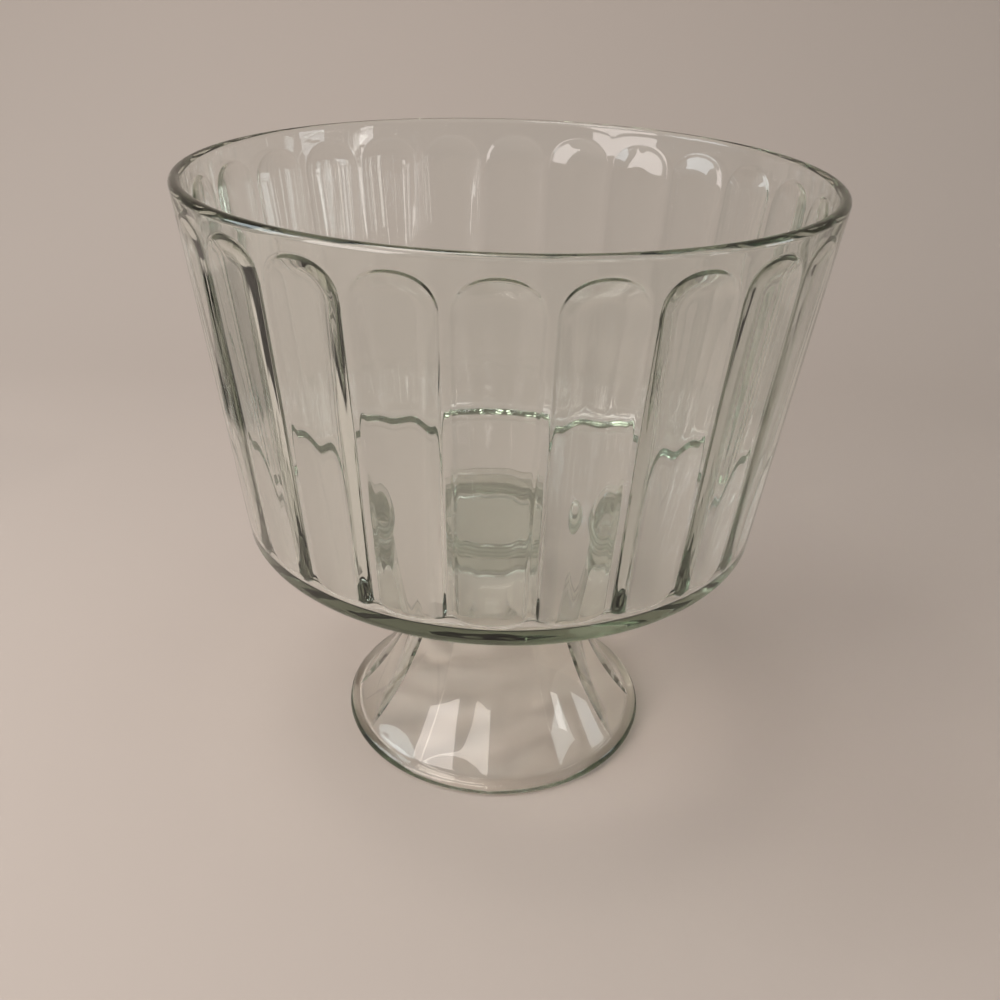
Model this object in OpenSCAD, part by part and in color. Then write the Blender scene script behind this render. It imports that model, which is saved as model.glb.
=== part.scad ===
// Footed trifle bowl of clear pressed glass, made of three pressed pieces that are fused while hot.
// Z is up, the foot stands on Z = 0 and the axis of the bowl is the Z axis. Sizes are millimetres.

/* [Bowl] */
// Height from the table to the top of the rim
overall_h = 217; // [190:1:260]
// Width across the outside of the rim
rim_d = 216; // [205:1:260]
// Width across the outside of the wall at the heel
heel_d = 187; // [170:1:200]
// Radius of the rounded heel, where the wall turns under
heel_r = 5; // [4:0.5:9]
// Thickness of the wall at the rim and in the grooves between the panels
wall_t = 3.8; // [3:0.1:5]
// Thickness of the floor
floor_t = 3.5; // [3:0.1:8]
// Radius of the hollow corner between the wall and the floor
corner_r = 12; // [6:0.5:18]

/* [Panels inside the bowl] */
// Number of panels round the wall
panel_count = 24; // [20:1:28]
// How far a panel swells into the bowl, past the grooves beside it
panel_swell = 2.3; // [1.2:0.1:2.8]
// Width of the plain groove between two panels
groove_w = 2; // [1:0.1:4]
// Height of the plain band above the crowns of the panels
band_h = 6; // [4:0.5:12]
// Height of a panel's arch, from where it springs to its crown
arch_rise = 11; // [5:0.5:12]

/* [Foot] */
// Height of the bowl's underside above the table
under_h = 91; // [80:1:110]
// Width across the foot's rim
foot_d = 120; // [108:1:132]
// Radius of the foot's rounded rim
foot_rim_r = 2.5; // [2:0.1:3]
// Width of the flat ring that the foot stands on
rest_w = 2; // [1:0.1:3]
// Width across the narrowest part of the neck
neck_d = 56; // [50:1:64]
// Height of the narrowest part of the neck above the table
neck_h = 78; // [72:1:82]
// Radius of the long hollow sweep from the neck to the rim
sweep_r = 110; // [100:1:120]
// Thickness of the foot's wall in the grooves between its panels
foot_wall_t = 3.6; // [2.5:0.1:5]
// Thickness of solid glass at the top of the foot
neck_top_t = 10; // [6:0.5:16]
// Radius of the rounded top of the foot's hollow
hollow_r = 8; // [4:0.5:12]
// Number of flat panels in the foot's hollow
foot_panel_count = 12; // [10:1:16]
// How far the middle of a foot panel stands in from the foot's round wall, at the rim
foot_panel_in = 1.4; // [0.8:0.1:1.7]
// Height of the plain round mouth that the foot's panels run out into
foot_mouth_h = 6; // [4:0.5:9]

/* [Joining wafer] */
// Thickness of the wafer of glass between the foot and the bowl
wafer_t = 6; // [4:0.5:9]
// Width across the wafer's bulging edge
wafer_d = 64; // [62:1:72]

/* [Hidden] */
$fn = 144;
cut = 20;
// A rounded corner's circle is this much larger than a tangent one, so it crosses both sides cleanly.
over = 1.02;
clear_glass = [0.80, 0.86, 0.84, 0.45];
thick_glass = [0.62, 0.74, 0.69, 0.60];

// The wall's outside touches the heel circle and the rim circle, so its slope follows from both.
// The fire-polished rim is a bead that is a little thicker than the wall.
rim_r = wall_t / 2;
bead_r = 2 * over * rim_r - rim_r;
heel_at = [heel_d / 2 - heel_r, under_h + heel_r];
rim_at = [rim_d / 2 - bead_r, overall_h - bead_r];
rise_angle = atan2(rim_at[1] - heel_at[1], rim_at[0] - heel_at[0]);
lean = acos((heel_r - rim_r) / norm(rim_at - heel_at)) - rise_angle;
outward = [cos(lean), -sin(lean)];
upward = [sin(lean), cos(lean)];
wall_foot = heel_at + heel_r * outward;
wall_top_out = rim_at + rim_r * outward;
wall_top_in = rim_at - rim_r * outward;
floor_z = under_h + floor_t;

// The inside of the wall lies wall_t behind the outside.
function inside_x(z) = (outward * wall_foot - wall_t - outward[1] * z) / outward[0];
corner_z = floor_z + corner_r;
corner_at = [inside_x(corner_z) - corner_r / outward[0], corner_z];
corner_wall = corner_at + corner_r * outward;

// A panel is one side of a tapered rod that lies behind the wall and swells through it.
crown_z = overall_h - band_h;
spring_z = crown_z - arch_rise;
function half_panel(z) = inside_x(z) * sin(180 / panel_count) - groove_w / 2;
function rod_r(z) = 1 / (2 * panel_swell / pow(half_panel(z), 2) - 1 / inside_x(z));
rod_low_r = rod_r(floor_z);
rod_high_r = rod_r(spring_z);
rod_side = (spring_z - floor_z) / cos(lean);
rod_taper = asin((rod_high_r - rod_low_r) / rod_side);
rod_len = rod_side * cos(rod_taper);
rod_tilt = lean + rod_taper;
arch_r = (pow(half_panel(spring_z), 2) + pow(arch_rise, 2)) / (2 * arch_rise);
crest_at = [inside_x(floor_z) - panel_swell / outward[0], floor_z];
rod_at = crest_at + rod_low_r * [cos(rod_tilt), -sin(rod_tilt)];

// The foot's sweep is an arc whose centre lies level with the neck, outside the foot.
sweep_at = [neck_d / 2 + sweep_r, neck_h];
foot_top_z = under_h - wafer_t;
foot_rim_at = [foot_d / 2 - foot_rim_r, sqrt(pow(foot_rim_r, 2) - pow(rest_w / 2, 2))];
hollow_top_z = foot_top_z - neck_top_t;
function sweep_x(z, r) = sweep_at[0] - sqrt(pow(r, 2) - pow(z - sweep_at[1], 2));
inner_sweep_r = sweep_r + foot_wall_t;
hollow_mouth = sweep_x(0, inner_sweep_r);
panel_sweep_r = inner_sweep_r + foot_panel_in;
mouth_low_r = hollow_mouth + 0.1 * foot_wall_t;
mouth_fall = (mouth_low_r - sweep_x(foot_mouth_h, panel_sweep_r)) / foot_mouth_h;
hollow_corner_z = hollow_top_z - hollow_r;
hollow_corner_x = sweep_x(hollow_corner_z, inner_sweep_r) - hollow_r;

module bowl_outside() {
  rotate_extrude() {
    polygon([[0, under_h], [heel_at[0], under_h], heel_at, wall_foot,
             wall_top_out, wall_top_in, [0, wall_top_in[1]]]);
    intersection() {
      translate(heel_at) circle(over * heel_r);
      translate([0, under_h]) square([heel_d, heel_d]);
    }
  }
}

module bowl_hollow() {
  top = wall_top_in + cut * upward;
  rotate([0, 0, 180 / panel_count])
    rotate_extrude() {
      polygon([[0, floor_z], [corner_at[0], floor_z], corner_at, corner_wall, top, [0, top[1]]]);
      intersection() {
        translate(corner_at) circle(over * corner_r);
        translate([0, floor_z]) square([rim_d, 2 * corner_r]);
      }
    }
}

module panel_rod() {
  low = rod_low_r - cut * tan(rod_taper);
  high = rod_high_r + cut * tan(rod_taper);
  translate([rod_at[0], 0, rod_at[1]])
    rotate([0, rod_tilt, 0])
      translate([0, 0, -cut]) cylinder(r1 = low, r2 = high, h = rod_len + 2 * cut);
}

// The outline of one panel, flat on the slope of the wall: tapered, with an arched upper end.
// Its sides run down the middle of the grooves beside the panel.
module panel_outline() {
  low = half_panel(floor_z) + groove_w / 4;
  high = half_panel(spring_z) + groove_w / 4;
  widening = (high - low) / rod_side * cut;
  polygon([[-cut, widening - low], [rod_side, -high], [rod_side, high], [-cut, low - widening]]);
  intersection() {
    translate([rod_side + arch_rise - arch_r, 0]) circle(arch_r);
    translate([rod_side - 1, -arch_r]) square(2 * arch_r);
  }
}

module panel() {
  intersection() {
    panel_rod();
    translate([inside_x(floor_z), 0, floor_z])
      rotate([0, lean - 90, 0])
        translate([0, 0, -cut]) linear_extrude(2 * cut) panel_outline();
  }
}

module bowl() {
  color(clear_glass)
    union() {
      difference() {
        bowl_outside();
        difference() {
          bowl_hollow();
          for (i = [0 : panel_count - 1])
            rotate([0, 0, i * 360 / panel_count]) panel();
        }
      }
      rotate_extrude() translate(rim_at) circle(bead_r);
    }
}

module foot_outside() {
  rotate_extrude() {
    difference() {
      translate([0, foot_rim_at[1]]) square([foot_rim_at[0], foot_top_z - foot_rim_at[1]]);
      translate(sweep_at) circle(sweep_r);
    }
    intersection() {
      translate(foot_rim_at) circle(foot_rim_r);
      square([foot_d, foot_d]);
    }
    square([foot_rim_at[0], foot_rim_at[1]]);
  }
}

module foot_hollow() {
  rotate_extrude() {
    difference() {
      translate([0, -cut]) square([hollow_mouth, hollow_corner_z + cut]);
      translate(sweep_at) circle(inner_sweep_r);
    }
    square([hollow_corner_x, hollow_top_z]);
    translate([hollow_corner_x, hollow_corner_z]) circle(hollow_r);
  }
}

// One panel of the foot: flat across, and curved along its height like the foot's own sweep.
module foot_panel() {
  translate([sweep_at[0], 0, sweep_at[1]])
    rotate([90, 0, 0]) cylinder(r = panel_sweep_r, h = foot_d, center = true);
}

// The mouth of the foot is a plain cone, so the foot stands on an even round ring.
module foot_mouth() {
  translate([0, 0, -cut])
    cylinder(r1 = mouth_low_r + cut * mouth_fall, r2 = mouth_low_r - 1.5 * foot_mouth_h * mouth_fall,
             h = cut + 1.5 * foot_mouth_h);
}

module foot() {
  color(clear_glass)
    difference() {
      foot_outside();
      foot_mouth();
      difference() {
        foot_hollow();
        for (i = [0 : foot_panel_count - 1])
          rotate([0, 0, (i + 0.5) * 360 / foot_panel_count]) foot_panel();
      }
    }
}

module joining_wafer() {
  edge_r = wafer_t / 2;
  color(thick_glass)
    translate([0, 0, foot_top_z])
      rotate_extrude() {
        square([wafer_d / 2 - edge_r, wafer_t]);
        intersection() {
          translate([wafer_d / 2 - edge_r, edge_r]) circle(edge_r);
          square([wafer_d, wafer_t]);
        }
      }
}

bowl();
joining_wafer();
foot();
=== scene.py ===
# %% [markdown]
# # A footed trifle bowl of pressed glass
#
# The real bowl is clear glass that was pressed while molten. It has three masses of glass: the wide
# bowl, the hollow foot, and the wafer of hot glass that fused the two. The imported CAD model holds
# their sizes. This script makes each piece again as a fine mesh with rounded edges, because light
# that bends through glass shows every facet, and then dresses, lights and photographs it.

# %% Load the frame
import math

import bpy
import numpy as np
from mathutils import Matrix, Vector


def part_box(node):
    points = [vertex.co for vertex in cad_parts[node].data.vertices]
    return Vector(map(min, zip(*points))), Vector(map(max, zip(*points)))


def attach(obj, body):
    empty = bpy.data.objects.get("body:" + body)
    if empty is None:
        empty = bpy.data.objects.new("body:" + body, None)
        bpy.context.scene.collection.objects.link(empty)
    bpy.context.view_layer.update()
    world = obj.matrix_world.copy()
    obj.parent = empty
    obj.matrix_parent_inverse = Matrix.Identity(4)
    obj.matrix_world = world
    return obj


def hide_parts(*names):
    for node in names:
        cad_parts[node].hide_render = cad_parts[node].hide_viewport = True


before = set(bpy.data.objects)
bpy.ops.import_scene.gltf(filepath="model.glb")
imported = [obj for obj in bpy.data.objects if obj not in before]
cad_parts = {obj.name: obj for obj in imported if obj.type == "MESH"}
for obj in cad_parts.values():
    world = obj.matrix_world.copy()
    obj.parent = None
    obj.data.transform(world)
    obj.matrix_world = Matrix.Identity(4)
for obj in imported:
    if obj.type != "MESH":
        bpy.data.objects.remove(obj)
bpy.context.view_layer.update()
MM = 0.001
scene = bpy.context.scene
print("nodes:", sorted(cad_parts))

# %% [markdown]
# ## The sizes that everything follows from
#
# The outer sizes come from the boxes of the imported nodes, so the meshes can't drift from them. The
# sizes that a box can't tell, such as the thickness of the wall, are named here. A glassmaker would
# recognise them: the heel is the rounded turn under the wall, and the rim is a fire-polished bead.
#
# The bowl is drawn as half a section, in distances from the axis and heights. The outside of the
# wall touches both the heel's circle and the bead's, so its lean follows from those two circles.

# %% Sizes of the bowl
bowl_low, bowl_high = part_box("bowl")
wafer_low, wafer_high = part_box("joining_wafer")
foot_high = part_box("foot")[1]

rim_radius = bowl_high.x
underside_z = bowl_low.z
floor_thickness = 3.5 * MM
wall_thickness = 3.8 * MM
heel_radius = 5 * MM
heel_half_width = 93.5 * MM
corner_radius = 12 * MM
bead_share = 0.52
bead_radius = bead_share * wall_thickness

floor_z = underside_z + floor_thickness
heel_centre = np.array([heel_half_width - heel_radius, underside_z + heel_radius])
bead_centre = np.array([rim_radius - bead_radius, bowl_high.z - bead_radius])
across = bead_centre - heel_centre
touching = math.acos((heel_radius - wall_thickness / 2) / math.hypot(*across))
wall_lean = touching - math.atan2(across[1], across[0])
outward = np.array([math.cos(wall_lean), -math.sin(wall_lean)])
upward = np.array([math.sin(wall_lean), math.cos(wall_lean)])
print("the wall leans out by", round(math.degrees(wall_lean), 2), "degrees")

# %% [markdown]
# ## The panels pressed inside the wall
#
# Twenty-four shallow pillows swell into the bowl from its wall, with a narrow plain groove between
# neighbours, and each ends in an arch below the plain band at the rim. Sculpting them by hand would
# never keep them alike, so the inside of the wall is a grid of points moved by a formula. The grid
# is bent so that its lines run along the grooves and along the arches: then no edge is a staircase.

# %% Sizes of the panels
panel_count = 24
low_swell = 2.7 * MM
high_swell = 1.7 * MM
groove_width = 2.0 * MM
plain_band = 6 * MM
arch_rise = 11 * MM
arch_fullness = 2.2
edge_step = 0.25 * MM
edge_width = 1.5 * MM
flank_width = 3.0 * MM
flank_fade = 10.0 * MM
run_out_softness = 0.25
pitch = 2 * math.pi / panel_count


def inside_radius(z):
    """The radius of the plain inside of the wall at a height."""
    wall_at_heel = outward @ (heel_centre + heel_radius * outward)
    return (wall_at_heel - wall_thickness - outward[1] * z) / outward[0]


def half_panel(z):
    """Half the width of a panel at a height, between the grooves beside it."""
    return inside_radius(z) * math.sin(pitch / 2) - groove_width / 2


crown_z = bowl_high.z - plain_band
spring_z = crown_z - arch_rise
spring_up = (spring_z - floor_z) / upward[1]
spring_half = half_panel(spring_z)
print("a panel is", round(2 * spring_half / MM, 1), "mm wide where its arch springs")

# %% [markdown]
# Places on the wall are told by how far they lie up its slope, from the level of the floor. The
# hollow corner between the wall and the floor ends at one such place, and the bead at another.

# %% Ends of the wall's slope
corner_z = floor_z + corner_radius
corner_centre = np.array([inside_radius(corner_z) - corner_radius / outward[0], corner_z])
slope_start = np.array([inside_radius(floor_z), floor_z])
corner_up = (corner_centre + corner_radius * outward - slope_start) @ upward
bead_up = (bead_centre - slope_start) @ upward
print("the slope runs from", round(corner_up / MM, 1), "to", round(bead_up / MM, 1), "mm")

# %% [markdown]
# Each panel has the same columns of points. They crowd towards its edges, where the glass turns
# fastest and a coarse mesh would show, and a few more cross the groove beside it.

# %% Columns of points round the bowl
panel_steps = 28
groove_steps = 6
crowding = 0.12


def column_places():
    """Places across one pitch: from -1 to 1 over the panel, and on past 1 to 2 over the groove."""
    evenly = np.linspace(-1, 1, panel_steps, endpoint=False)
    over_panel = evenly + crowding * np.sin(evenly * math.pi)
    over_groove = 1 + np.arange(groove_steps) / groove_steps
    return np.concatenate([over_panel, over_groove])


def column_angles(half_angle):
    """The angles of all columns, where each panel is half_angle wide on each side of its middle."""
    place = np.tile(column_places(), panel_count)
    middle = np.repeat(np.arange(panel_count), panel_steps + groove_steps) * pitch
    in_groove = half_angle + (place - 1) * (pitch - 2 * half_angle)
    return middle + np.where(place < 1, place * half_angle, in_groove)


print("columns of points round the bowl:", panel_count * len(column_places()))

# %% [markdown]
# ## Rings of points
#
# A surface of revolution is a stack of rings. Each ring here is an array of points, all rings have
# the same number, and quads join each ring to the next. Two single points close the ends, so the
# glass is a closed body, which light can enter and leave as it does in the real thing.

# %% Rings into a closed body
def ring(angles, radius, z):
    """One ring of points. Angle 0 faces the camera, along -Y."""
    level = np.zeros(len(angles)) + z
    return np.stack([radius * np.sin(angles), -radius * np.cos(angles), level], axis=1)


def round_rings(angles, centre, radius, turns):
    """Rings round a circle in the section, one for each turn about its centre."""
    return [
        ring(angles, centre[0] + radius * math.cos(turn), centre[1] + radius * math.sin(turn))
        for turn in turns
    ]


def new_piece(name, points, faces):
    """A smooth mesh in an object of its own, linked into the scene."""
    mesh = bpy.data.meshes.new(name)
    mesh.from_pydata(points, [], faces)
    mesh.shade_smooth()
    mesh.update()
    piece = bpy.data.objects.new(name, mesh)
    scene.collection.objects.link(piece)
    return piece


def closed_body(name, rings):
    """A closed piece through a stack of rings that starts and ends on the axis."""
    rows, columns = len(rings), len(rings[0])
    ends = [[rings[0].mean(axis=0)], [rings[-1].mean(axis=0)]]
    points = np.concatenate(rings + ends)
    column = np.arange(columns)
    beside = (column + 1) % columns
    band = np.stack([column, beside, beside + columns, column + columns], axis=1)
    quads = np.concatenate([band + row * columns for row in range(rows - 1)])
    start_point = np.full(columns, rows * columns)
    end_point = start_point + 1
    last_row = (rows - 1) * columns
    start = np.stack([start_point, beside, column], axis=1)
    end = np.stack([end_point, last_row + column, last_row + beside], axis=1)
    return new_piece(name, points.tolist(), quads.tolist() + start.tolist() + end.tolist())


# %% [markdown]
# ## How far a panel swells
#
# The distance in from the panel's edge decides how far its glass stands in from the plain wall. The
# flank rises steadily and then levels off into a flat middle, and a small soft step at its edge
# draws the line that shows in the real glass. An edge made this way has the same section along the
# straight sides and over the arch, as a mould cut with one tool has.

# %% The swell of a panel
def soft_step(share):
    """0 below 0, 1 above 1, and a smooth rise between."""
    share = np.clip(share, 0, 1)
    return share * share * (3 - 2 * share)


def flank(distance):
    """The share of the full swell at a distance in from a panel's edge: a slope that levels off."""
    levelling = flank_fade - flank_width
    level = np.clip((distance - flank_width) / levelling, 0, 1)
    lost = (level**3 - level**4 / 2) * levelling
    return (np.clip(distance, 0, flank_fade) - lost) / ((flank_width + flank_fade) / 2)


def arch_norm(along, up):
    """1 on the arch's curve, less below it: a curve a little squarer than an ellipse."""
    return (along**arch_fullness + up**arch_fullness) ** (1 / arch_fullness)


def swell(side, up, half):
    """How far the glass stands in from the plain wall, at a place on the slope of the wall."""
    over_spring = np.clip(up - spring_up, 0, None) / arch_rise
    distance = (1 - arch_norm(np.abs(side) / half, over_spring)) * half
    deepest = low_swell + (high_swell - low_swell) * np.clip(up / spring_up, 0, 1)
    return deepest * flank(distance) + edge_step * soft_step(distance / edge_width)


# %% A ring on the inside of the wall
def wall_ring(up):
    """A ring on the inside of the wall. up gives each column's distance up the slope."""
    z = floor_z + up * upward[1]
    radius = inside_radius(z)
    half = np.minimum(half_panel(z), spring_half)
    angles = column_angles(np.arcsin(half / radius))
    side = radius * np.sin((angles + pitch / 2) % pitch - pitch / 2)
    inward = swell(side, up, half)
    return ring(angles, radius - inward * outward[0], z - inward * outward[1])


def arch_line():
    """How far up the slope each column meets the arch of its panel."""
    place = np.tile(column_places(), panel_count)
    side = np.clip(np.abs(place), 0, 1)
    return spring_up + arch_rise * (1 - side**arch_fullness) ** (1 / arch_fullness)


# %% [markdown]
# The rows of the grid follow the arches closely: they crowd together just below the arch, where
# the glass steps down to the plain band, and spread out down the long straight part of the panel.

# %% Rings down the wall
band_rows = 5
edge_drop = 4.8 * MM
edge_spacing = 0.35 * MM
shoulder_drop = 14 * MM
shoulder_spacing = 1.1 * MM
panel_rows = 20


def wall_rings():
    """Rings down the inside of the wall, from the bead to the top of the rounded corner."""
    arch = arch_line()
    above = [arch + (bead_up - arch) * t for t in np.linspace(1, 0, band_rows + 2)[1:-1]]
    edge = [arch - drop for drop in np.arange(0, edge_drop, edge_spacing)]
    shoulder = [arch - drop for drop in np.arange(edge_drop, shoulder_drop, shoulder_spacing)]
    last = shoulder[-1]
    below = [last + (corner_up - last) * t for t in np.linspace(0, 1, panel_rows + 1)[1:]]
    return [wall_ring(up) for up in above + edge + shoulder + below]


inside_wall = wall_rings()
print("rows of points down the wall:", len(inside_wall))

# %% [markdown]
# ## The corner between the wall and the floor
#
# The corner is a quarter round, hollowed into the glass. The panels come down it as straight
# slopes, and each runs out where the round overtakes it, as a flat-sided punch leaves them. A
# smooth minimum of the two shapes softens that meeting, and the panel's depth is set so that the
# softened shape starts at the full swell of the wall above.

# %% Rings round the corner
corner_rows = 20


def corner_rings():
    """Rings round the hollow corner, with the panels running out in it."""
    half = half_panel(corner_z)
    angles = column_angles(math.asin(half / inside_radius(corner_z)))
    place = np.tile(column_places(), panel_count)
    full = swell(np.clip(place, -1, 1) * half, corner_up, half)
    inward = full * 2 / (1 + math.hypot(1, run_out_softness))
    softness = run_out_softness * inward
    rings = []
    for turn in np.linspace(0, math.pi / 2 - wall_lean, corner_rows + 1)[1:]:
        panel = (corner_radius - inward) / math.cos(turn)
        reach = (corner_radius + panel - np.hypot(corner_radius - panel, softness)) / 2
        rings += round_rings(angles, corner_centre, reach, [-wall_lean - turn])
    return rings


# %% [markdown]
# ## The whole bowl
#
# The outside is plain: a flat underside, the rounded heel and a straight cone up to the bead. The
# pieces of real glass are fused, but three bodies are easier to build and to take apart, so each
# is closed by itself. Bodies that share a face confuse the light, which then finds two surfaces in
# one place. So the wafer and the foot stop a hair's breadth short of their neighbours.

# %% Outside and floor of the bowl
hair = 0.01 * MM
first_row_radius = 12 * MM
last_row_radius = 78 * MM
underside_rows = 7
edge_points = 15
outside_rows = 8
floor_rows = 6
floor_row_radius = 8 * MM


def outside_rings():
    """Rings over the outside of the bowl, from the middle of the underside and over the bead."""
    angles = column_angles(math.asin(spring_half / inside_radius(spring_z)))
    radii = np.linspace(first_row_radius, last_row_radius, underside_rows)
    underside = [ring(angles, radius, underside_z) for radius in radii]
    heel_turns = np.linspace(-math.pi / 2, -wall_lean, edge_points)
    heel = round_rings(angles, heel_centre, heel_radius, heel_turns)
    start = heel_centre + heel_radius * outward
    rise = bead_centre + bead_radius * outward - start
    steps = np.linspace(0, 1, outside_rows + 2)[1:-1]
    wall = [ring(angles, *(start + rise * t)) for t in steps]
    bead_turns = np.linspace(-wall_lean, math.pi - wall_lean, edge_points)
    return underside + heel + wall + round_rings(angles, bead_centre, bead_radius, bead_turns)


def floor_rings():
    """Rings over the flat floor inside the bowl, towards the axis."""
    angles = column_angles(math.asin(half_panel(corner_z) / inside_radius(corner_z)))
    radii = np.linspace(corner_centre[0], floor_row_radius, floor_rows + 1)[1:]
    return [ring(angles, radius, floor_z) for radius in radii]


# %% Make the bowl
bowl_rings = outside_rings() + inside_wall + corner_rings() + floor_rings()
bowl = closed_body("bowl_glass", bowl_rings)
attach(bowl, "root")
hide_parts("bowl")
print("bowl:", len(bowl.data.polygons), "faces")

# %% [markdown]
# ## The foot
#
# The foot is a hollow bell. Outside it is a long sweep, an arc whose centre lies level with the
# neck. Inside it has twelve flat panels. A flat panel is nearer the axis at its middle than at its
# sides, so the inside is whichever is nearer at each angle, the plain sweep or the flat panel, with
# the change softened as pressing softens it.

# %% Sizes of the foot
foot_panel_count = 12
neck_radius = 28 * MM
neck_z = 78 * MM
sweep_radius = 110 * MM
foot_wall = 3.6 * MM
foot_panel_depth = 1.4 * MM
neck_glass = 10 * MM
hollow_radius = 8 * MM
foot_bead_radius = 2.5 * MM
rest_width = 2 * MM
mouth_height = 6 * MM
panel_softness = 0.15 * MM
mouth_softness = 0.45 * MM
sweep_centre = neck_radius + sweep_radius


def sweep(z, radius):
    """How far from the axis an arc about the sweep's centre runs at a height."""
    return sweep_centre - np.sqrt(radius**2 - (z - neck_z) ** 2)


foot_top_radius = sweep(foot_high.z, sweep_radius)
mouth_radius = sweep(0, sweep_radius + foot_wall)
mouth_top_radius = sweep(mouth_height, sweep_radius + foot_wall + foot_panel_depth)
foot_bead_z = math.sqrt(foot_bead_radius**2 - (rest_width / 2) ** 2)
foot_bead_centre = np.array([foot_high.x - foot_bead_radius, foot_bead_z])
hollow_corner_z = foot_high.z - neck_glass - hollow_radius
print("the foot's hollow is", round(2 * mouth_radius / MM, 1), "mm wide at its mouth")

# %% [markdown]
# ## The joining wafer
#
# A gather of hot glass was squeezed between the bowl and the foot. It has bulged out past both into
# a rounded ring, the way a drop does, so its edge is half a circle in section. A flattened ball
# would have no flat faces to fuse, so the wafer is one more stack of rings. The last flat row of
# its underside lies at the edge of the foot's top, so smooth shading stays flat over the joint.

# %% Make the wafer
wafer_columns = 288
wafer_edge_radius = (wafer_high.z - wafer_low.z) / 2
wafer_flat_radius = wafer_high.x - wafer_edge_radius
wafer_row_radii = (10 * MM, 20 * MM)


def wafer_rings():
    """Rings from the middle of the wafer's underside, round its edge and over its top."""
    angles = np.linspace(0, 2 * math.pi, wafer_columns, endpoint=False)
    middle_z = (wafer_low.z + wafer_high.z) / 2
    half_height = wafer_edge_radius - hair
    underside_radii = (*wafer_row_radii, foot_top_radius)
    underside = [ring(angles, radius, middle_z - half_height) for radius in underside_radii]
    edge = []
    for turn in np.linspace(-math.pi / 2, math.pi / 2, edge_points):
        radius = wafer_flat_radius + wafer_edge_radius * math.cos(turn)
        edge.append(ring(angles, radius, middle_z + half_height * math.sin(turn)))
    top = [ring(angles, radius, middle_z + half_height) for radius in reversed(wafer_row_radii)]
    return underside + edge + top


wafer = closed_body("joining_wafer_glass", wafer_rings())
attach(wafer, "root")
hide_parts("joining_wafer")
print("wafer:", len(wafer.data.polygons), "faces")

# %% [markdown]
# ## The foot's hollow and its sweep
#
# The mouth of the hollow is a plain cone, which the panels run out into, so that the foot stands on
# an even ring. The inside is the wider of the cone and the panelled bell at each height, found with
# a smooth maximum, which leaves no sharp line between them.

# %% The hollow of the foot
columns_per_foot_panel = 48
foot_columns = foot_panel_count * columns_per_foot_panel
foot_angles = np.linspace(0, 2 * math.pi, foot_columns, endpoint=False)


def hollow_radius_at(z):
    """The inside of the foot at a height, for every column."""
    foot_pitch = 2 * math.pi / foot_panel_count
    from_middle = foot_angles % foot_pitch - foot_pitch / 2
    plain = sweep(z, sweep_radius + foot_wall)
    panel = sweep(z, sweep_radius + foot_wall + foot_panel_depth) / np.cos(from_middle)
    panelled = (plain + panel - np.hypot(plain - panel, panel_softness)) / 2
    cone = mouth_radius - z * (mouth_radius - mouth_top_radius) / mouth_height
    return (panelled + cone + np.hypot(panelled - cone, mouth_softness)) / 2


# %% Rings of the foot
foot_row_radii = (10 * MM, 20 * MM, 27 * MM)
sweep_rows = 60
above_bead = 0.125 * MM
sweep_end_z = foot_bead_z + foot_bead_radius + above_bead
foot_bead_start = math.radians(112)
foot_bead_end = -math.asin(foot_bead_z / foot_bead_radius)
foot_bead_points = 26
rest_edge = 0.4 * MM
small_rest_edge = 0.1 * MM
hollow_turn_rows = 13
hollow_row_radii = (10 * MM, 5 * MM)


def foot_outside_rings():
    """Rings from the middle of the foot's top, down the sweep and round the rim to the table."""
    top = foot_high.z - hair
    rings = [ring(foot_angles, radius, top) for radius in foot_row_radii]
    for z in np.linspace(top, sweep_end_z, sweep_rows):
        rings.append(ring(foot_angles, sweep(z, sweep_radius), z))
    turns = np.linspace(foot_bead_start, foot_bead_end, foot_bead_points)
    return rings + round_rings(foot_angles, foot_bead_centre, foot_bead_radius, turns)


def foot_hollow_rings():
    """Rings from the inner edge of the flat resting ring, up the hollow and over its top."""
    rest = hollow_radius_at(0.0)
    rings = [ring(foot_angles, rest + rest_edge, 0)]
    rings.append(ring(foot_angles, rest + small_rest_edge, small_rest_edge))
    for z in np.linspace(rest_edge, hollow_corner_z, sweep_rows):
        rings.append(ring(foot_angles, hollow_radius_at(z), z))
    centre = (hollow_radius_at(hollow_corner_z) - hollow_radius, hollow_corner_z)
    turns = np.linspace(0, math.pi / 2, hollow_turn_rows + 1)[1:]
    rings += round_rings(foot_angles, centre, hollow_radius, turns)
    top = hollow_corner_z + hollow_radius
    return rings + [ring(foot_angles, radius, top) for radius in hollow_row_radii]


# %% Make the foot
# These rings run down the outside first, so their order is turned round to face the quads outward.
foot_rings = foot_outside_rings() + foot_hollow_rings()
foot = closed_body("foot_glass", foot_rings[::-1])
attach(foot, "root")
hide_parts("foot")
print("foot:", len(foot.data.polygons), "faces")

# %% [markdown]
# ## Writing shaders as sums
#
# Much of a shader is arithmetic, so it reads best as sums. This class wraps the output of a node as
# if it were a wire to the next one, and each operator adds the Math node that does it. The method
# `node` makes any other node, and `feed` sets or links the inputs of a node that is there already.

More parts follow.
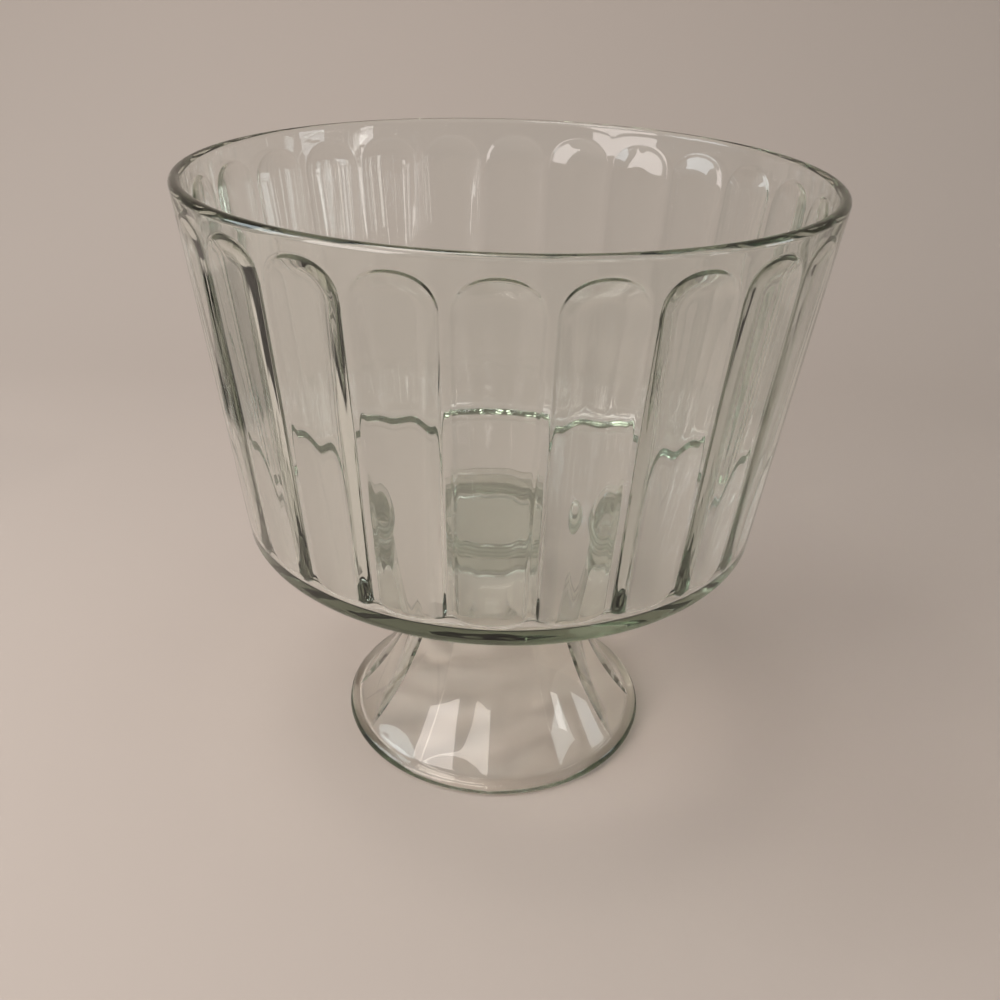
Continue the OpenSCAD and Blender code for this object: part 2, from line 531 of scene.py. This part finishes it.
# %% A wire that can be added and multiplied
class Wire:
    """The output of a node, with the operators that this script uses."""

    def __init__(self, tree, socket=None):
        self.tree = tree
        self.socket = socket

    def feed(self, node, values):
        """Sets or links the named inputs of a node."""
        for name, value in values.items():
            if isinstance(value, Wire):
                self.tree.links.new(value.socket, node.inputs[name])
            else:
                node.inputs[name].default_value = value

    def node(self, kind, settings, values, output=0):
        """A new node: its kind, its settings, its inputs, and which of its outputs is wanted."""
        made = self.tree.nodes.new(kind)
        for name, setting in settings.items():
            setattr(made, name, setting)
        self.feed(made, values)
        return Wire(self.tree, made.outputs[output])

    def maths(self, operation, *values):
        """A Math node on wires and numbers."""
        return self.node("ShaderNodeMath", {"operation": operation}, dict(enumerate(values)))

    def __add__(self, other):
        return self.maths("ADD", self, other)

    def __sub__(self, other):
        return self.maths("SUBTRACT", self, other)

    def __rsub__(self, other):
        return self.maths("SUBTRACT", other, self)

    def __mul__(self, other):
        return self.maths("MULTIPLY", self, other)

    def __abs__(self):
        return self.maths("ABSOLUTE", self)

    __radd__ = __add__
    __rmul__ = __mul__


# %% Start a material
def new_material(name):
    """A node material, its Principled shader and a loose wire to start its sums from."""
    material = bpy.data.materials.new(name)
    material.use_nodes = True
    tree = material.node_tree
    return material, tree.nodes["Principled BSDF"], Wire(tree)


# %% [markdown]
# ## The glass
#
# Soda-lime glass has a refractive index near 1.52, and it takes out a little red and blue, so a long
# way through it looks green. A tint on the surface alone would colour thin and thick glass alike,
# so most of the green is a volume that absorbs by length. Pressed glass is never optically flat: it
# cooled against iron, and its surface rolls by a few hundredths of a millimetre, which makes the
# reflections of windows waver. That roll is too slight for the mesh to carry, so it is a bump.

# %% Clear pressed glass
roll_scale = 38.0
ripple_scale = 150.0
ripple_share = 0.12
roll_height = 0.07 * MM


def pressed_glass():
    """Clear glass with a rolling surface and a faint green body."""
    material, shader, start = new_material("clear_pressed_glass")
    place = start.node("ShaderNodeTexCoord", {}, {}, "Object")
    roll = start.node("ShaderNodeTexNoise", {}, {"Vector": place, "Scale": roll_scale, "Detail": 1.0})
    ripple = start.node("ShaderNodeTexNoise", {}, {"Vector": place, "Scale": ripple_scale, "Detail": 0.0})
    height = roll + ripple * ripple_share
    bump = start.node("ShaderNodeBump", {}, {"Height": height, "Strength": 1.0, "Distance": roll_height})
    start.feed(shader, {
        "Base Color": (0.988, 1.0, 0.992, 1.0),
        "Roughness": 0.0,
        "IOR": 1.52,
        "Transmission Weight": 1.0,
        "Normal": bump,
    })
    body = {"Color": (0.46, 0.54, 0.40, 1.0), "Density": 13.0}
    absorption = start.node("ShaderNodeVolumeAbsorption", {}, body)
    start.feed(material.node_tree.nodes["Material Output"], {"Volume": absorption})
    return material


glass = pressed_glass()
for piece in (bowl, wafer, foot):
    piece.data.materials.append(glass)
print("the glass rolls by up to", round(roll_height / MM, 2), "mm")

# %% [markdown]
# ## The floor and the backdrop
#
# The bowl stands on a pale sheet that curves up behind it, as in a small studio, so that no line of
# a floor's end shows through the glass. The sheet lies a hair under the foot for the same reason as
# the hair between the pieces.

# %% Floor and backdrop
sheet_half_width = 3.0
bend_start = 0.35
bend_radius = 0.5
bend_turn = math.radians(85)
bend_points = 18
backdrop_top = (0.87, 2.5)
below_foot = 0.02 * MM


def studio_sweep():
    """A sheet that runs flat under the bowl, bends and rises behind it."""
    outline = [(-sheet_half_width, 0.0)]
    for turn in np.linspace(0, bend_turn, bend_points):
        rise = bend_radius - bend_radius * math.cos(turn)
        outline.append((bend_start + bend_radius * math.sin(turn), rise))
    outline.append(backdrop_top)
    sides = (-sheet_half_width, sheet_half_width)
    points = [(x, y, z - below_foot) for y, z in outline for x in sides]
    faces = [(2 * k, 2 * k + 1, 2 * k + 3, 2 * k + 2) for k in range(len(outline) - 1)]
    sheet = new_piece("studio_sweep", points, faces)
    material, shader, start = new_material("pale_sheet")
    start.feed(shader, {"Base Color": (0.53, 0.44, 0.385, 1.0), "Roughness": 0.9})
    sheet.data.materials.append(material)
    return sheet


studio_sweep()
print("the backdrop rises to", backdrop_top[1], "m")

# %% [markdown]
# ## The light
#
# Clear glass has hardly a look of its own: it shows the room. So each lamp here is a window, placed
# where its reflection falls on the glass as it does in the photograph. The two large ones on the
# left give the bright patches on the foot and the back wall, the small ones on the right give the
# glints there, and a soft one overhead lightens the shadow.

# %% Lamps
warm_white = (1.0, 0.93, 0.90)
cool_white = (0.86, 0.95, 1.0)
pale_cool_white = (0.90, 0.97, 1.0)
near_white = (1.0, 0.98, 0.96)
lamp_aim = Vector((0, 0, 0.1))


def soft_lamp(name, place, width, height, power, colour):
    """A rectangular lamp that faces the middle of the bowl."""
    data = bpy.data.lights.new(name, "AREA")
    data.shape = "RECTANGLE"
    data.size = width
    data.size_y = height
    data.energy = power
    data.color = colour
    lamp = bpy.data.objects.new(name, data)
    scene.collection.objects.link(lamp)
    lamp.location = place
    lamp.rotation_euler = (lamp_aim - Vector(place)).to_track_quat("-Z", "Y").to_euler()


soft_lamp("warm_window_front_left", place=(-0.72, -0.66, 0.55),
          width=0.55, height=0.60, power=5.8, colour=warm_white)
soft_lamp("cool_window_left", place=(-0.82, -0.05, 0.62),
          width=0.40, height=0.40, power=2.4, colour=cool_white)
soft_lamp("cool_window_right", place=(1.0, 0.0, 0.25),
          width=0.22, height=0.30, power=0.7, colour=pale_cool_white)
soft_lamp("small_window_right", place=(0.80, -0.38, 0.22),
          width=0.10, height=0.16, power=0.25, colour=near_white)
soft_lamp("overhead", place=(-0.25, -0.05, 1.15),
          width=0.40, height=0.40, power=2.6, colour=near_white)
print("lamps:", len(bpy.data.lights))

# %% [markdown]
# ## Dark cloths
#
# Clear glass against a pale floor nearly vanishes. Black cards lie beside it here, out of the
# picture, and the steep flanks of the glass bend the view onto them, so that its edges are drawn in
# black. The cards are painted dark reflections that stand in for the unlit room: each is seen only
# by the glass, is hidden from the camera, throws no shadow and darkens no floor. Its alpha fades out
# at its edges, so its reflection has no hard end.

# %% Black cards beside the bowl, painted dark reflections
shade_card_height = 0.1 * MM
shade_card_fade = 25 * MM


def painted_shade_card(name, centre, length, width):
    """A black card for painted dark reflection, turned so that its length points away from the bowl."""
    signs = ((-1, -1), (1, -1), (1, 1), (-1, 1))
    corners = [(x * length / 2, y * width / 2, 0) for x, y in signs]
    shade_card = new_piece(name, corners, [(0, 1, 2, 3)])
    shade_card.location = (*centre, shade_card_height)
    shade_card.rotation_euler.z = math.atan2(centre[1], centre[0])
    shade_card.visible_camera = False
    shade_card.visible_diffuse = False
    shade_card.visible_shadow = False
    material, shader, start = new_material(name)
    place = start.node("ShaderNodeTexCoord", {}, {}, "Object")
    alpha = 1.0
    for axis, size in (("X", length), ("Y", width)):
        along = start.node("ShaderNodeSeparateXYZ", {}, {"Vector": place}, axis)
        ends = {"From Min": size / 2 - shade_card_fade, "From Max": size / 2}
        edge = start.node("ShaderNodeMapRange", {"interpolation_type": "SMOOTHSTEP"},
                          {"Value": abs(along), **ends})
        alpha = alpha * (1 - edge)
    # The near-black colour is painted dark reflection: it stands in for the unlit room.
    start.feed(shader, {
        "Base Color": (0.004, 0.004, 0.004, 1.0),
        "Specular IOR Level": 0.0,
        "Alpha": alpha,
    })
    shade_card.data.materials.append(material)


# Two black cards, one on each side, painted dark reflections in the flanks of the glass.
painted_shade_card("painted_shade_card_left", centre=(-0.42, 0.13), length=0.28, width=0.30)
painted_shade_card("painted_shade_card_right", centre=(0.42, 0.10), length=0.20, width=0.09)
print("the dark cloths fade out over", round(shade_card_fade / MM), "mm")

# %% [markdown]
# ## The room
#
# The world stands for the rest of the room. It is cool and brightens towards its upper left: the
# glass reflects it, and it lights the floor softly. A ray straight from the camera, or one that is
# bent through the glass, meets a plain pale haze instead, as if the backdrop went on for ever. The
# Light Path node tells the two kinds of ray apart.

# %% The world
room_colour = (0.88, 0.95, 0.96, 1.0)
haze_colour = (0.40, 0.36, 0.33, 1.0)
bright_way = (-0.45, 0.0, 0.89)
dim_strength = 0.20
bright_strength = 0.72


def room_light():
    """A world with a bright side, and a haze for rays that look past the stage."""
    world = bpy.data.worlds.new("room")
    world.use_nodes = True
    tree = world.node_tree
    start = Wire(tree)
    way = start.node("ShaderNodeTexCoord", {}, {}, "Generated")
    ways = {0: way, 1: bright_way}
    bright_side = start.node("ShaderNodeVectorMath", {"operation": "DOT_PRODUCT"}, ways, "Value")
    ends = {"From Min": 0.0, "From Max": 1.0, "To Min": dim_strength, "To Max": bright_strength}
    shade = start.node("ShaderNodeMapRange", {"interpolation_type": "SMOOTHSTEP"},
                       {"Value": bright_side, **ends})
    from_camera = start.node("ShaderNodeLightPath", {}, {}, "Is Camera Ray")
    through_glass = start.node("ShaderNodeLightPath", {}, {}, "Is Transmission Ray")
    looks = start.maths("MAXIMUM", from_camera, through_glass)
    # A Mix node in colour mode has its two colours at inputs 6 and 7 and its result at output 2.
    colours = {"Factor": looks, 6: room_colour, 7: haze_colour}
    shown = start.node("ShaderNodeMix", {"data_type": "RGBA"}, colours, 2)
    strength = shade * (1 - looks) + looks
    start.feed(tree.nodes["Background"], {"Color": shown, "Strength": strength})
    return world


scene.world = room_light()
print("world:", scene.world.name)

# %% [markdown]
# ## What Cycles may leave out
#
# Cycles saves time by blurring glossy light and by clamping bright indirect light. Both darken the
# floor under the hollow foot, because all its light has come through glass, so both are turned off.
# A ray that looks through the bowl crosses many surfaces, so it may bounce often before it ends.

# %% Cycles settings
scene.cycles.blur_glossy = 0.0
scene.cycles.sample_clamp_indirect = 0.0
scene.cycles.max_bounces = 40
scene.cycles.transmission_bounces = 40
scene.cycles.glossy_bounces = 20
print("a ray may bounce", scene.cycles.max_bounces, "times")

# %% [markdown]
# ## The camera
#
# The photograph was taken from above and in front, with the camera turned a little on its own axis.
# Its place was found by fitting the ellipses of the rim, the heel and the foot.

# %% Camera
camera_height = 0.28285
camera_back = 0.35413
look_down = math.radians(28.11)
camera_roll = math.radians(1.833)
turned = math.radians(1.0)
camera_data = bpy.data.cameras.new("camera")
camera_data.sensor_width = 36
camera_data.lens = 37.8
camera = bpy.data.objects.new("camera", camera_data)
scene.collection.objects.link(camera)
ahead = Vector((0, math.cos(look_down), -math.sin(look_down)))
right = Vector((1, 0, 0))
above = right.cross(ahead)
rolled_right = right * math.cos(camera_roll) + above * math.sin(camera_roll)
rolled_above = above * math.cos(camera_roll) - right * math.sin(camera_roll)
facing = Matrix((rolled_right, rolled_above, -ahead)).transposed().to_4x4()
standing = Matrix.Translation((0, -camera_back, camera_height))
camera.matrix_world = Matrix.Rotation(turned, 4, "Z") @ standing @ facing
scene.camera = camera
scene.view_settings.view_transform = "Standard"
print("camera at", [round(c, 3) for c in camera.matrix_world.translation])
